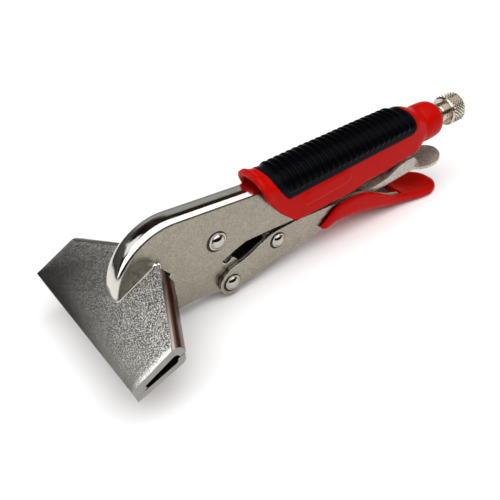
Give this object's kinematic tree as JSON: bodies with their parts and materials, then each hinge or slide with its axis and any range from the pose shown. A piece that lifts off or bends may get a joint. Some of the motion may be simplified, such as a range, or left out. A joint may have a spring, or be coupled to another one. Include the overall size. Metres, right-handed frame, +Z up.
{
  "type": "hand seamer",
  "caption": "Locking sheet-metal pliers: wide trapezoid blades under a hooked channel body, toggle-locked lower handle, release lever, knurled screw and red grips with a ribbed inlay.",
  "frame": {"origin": "middle of the bottom of the overall box, on the surface under the lower grip", "axes": "+X towards the adjusting knob, -X towards the blades' bite edge, +Y to the tool's left seen from the blades, +Z up out of the upper grip's back"},
  "size_m": [0.2058, 0.08, 0.0522],
  "materials": {
    "plated_body": "nickel plated, satin sides, bright rolled edge",
    "blasted_blade": "nickel plated over a coarse blasted face",
    "plated_sheet": "nickel plated sheet, satin",
    "weld": "bright plated weld",
    "rivet": "bright plated, domed",
    "screw_steel": "bright plated thread",
    "knob_steel": "bright plated, knurled",
    "spring_wire": "bright spring wire",
    "red_grip": "smooth satin plastic",
    "black_inlay": "satin ribbed rubber"
  },
  "bodies": {
    "upper_frame": {"upper_body": "plated_body", "upper_blade": "blasted_blade", "upper_weld_beads": "weld", "main_pivot_rivet": "rivet", "spring_anchor_pin": "rivet", "threaded_bush": "screw_steel", "upper_grip": "red_grip", "upper_grip_inlay": "black_inlay", "tension_spring": "spring_wire"},
    "lower_jaw": {"lower_jaw_body": "plated_body", "lower_blade": "blasted_blade", "lower_weld_beads": "weld"},
    "handle": {"lower_handle": "plated_sheet", "lower_grip": "red_grip", "jaw_handle_rivet": "rivet", "link_rivet": "rivet", "release_lever_rivet": "rivet"},
    "link": {"toggle_link": "plated_sheet"},
    "lever": {"release_lever": "plated_sheet"},
    "screw": {"adjusting_screw": "screw_steel"},
    "knob": {"adjusting_knob": "knob_steel", "knob_pin": "rivet"}
  },
  "joints": [
    {"name": "lower_jaw_pivot", "type": "hinge", "parent": "upper_frame", "child": "lower_jaw", "pos_m": [-0.04195, 0, 0.0329], "axis": [0, -1, 0], "range_deg": [0, 16], "deforming": ["tension_spring"]},
    {"name": "lower_handle_pivot", "type": "hinge", "parent": "lower_jaw", "child": "handle", "pos_m": [-0.03675, 0, 0.0078], "axis": [0, 1, 0], "range_deg": [0, 56.1]},
    {"name": "toggle_link_pivot", "type": "hinge", "parent": "handle", "child": "link", "pos_m": [-0.01185, 0, 0.0176], "axis": [0, -1, 0], "range_deg": [0, 60]},
    {"name": "release_lever_pivot", "type": "hinge", "parent": "handle", "child": "lever", "pos_m": [0.03405, 0, 0.0158], "axis": [0, 1, 0], "range_deg": [0, 3.5]},
    {"name": "screw_advance", "type": "slide", "parent": "upper_frame", "child": "screw", "axis": [1, 0, 0], "range_m": [0, 0.0076]},
    {"name": "knob_spin", "type": "hinge", "parent": "screw", "child": "knob", "pos_m": [0.09405, 0, 0.03725], "axis": [1, 0, 0], "range_deg": [0, 2160]}
  ],
  "couplings": [
    {"joint": "lower_handle_pivot", "follows": "lower_jaw_pivot", "ratio": 3.5},
    {"joint": "toggle_link_pivot", "follows": "lower_jaw_pivot", "ratio": 3.68},
    {"joint": "screw_advance", "follows": "knob_spin", "m_per_rad": 0.00019894}
  ]
}
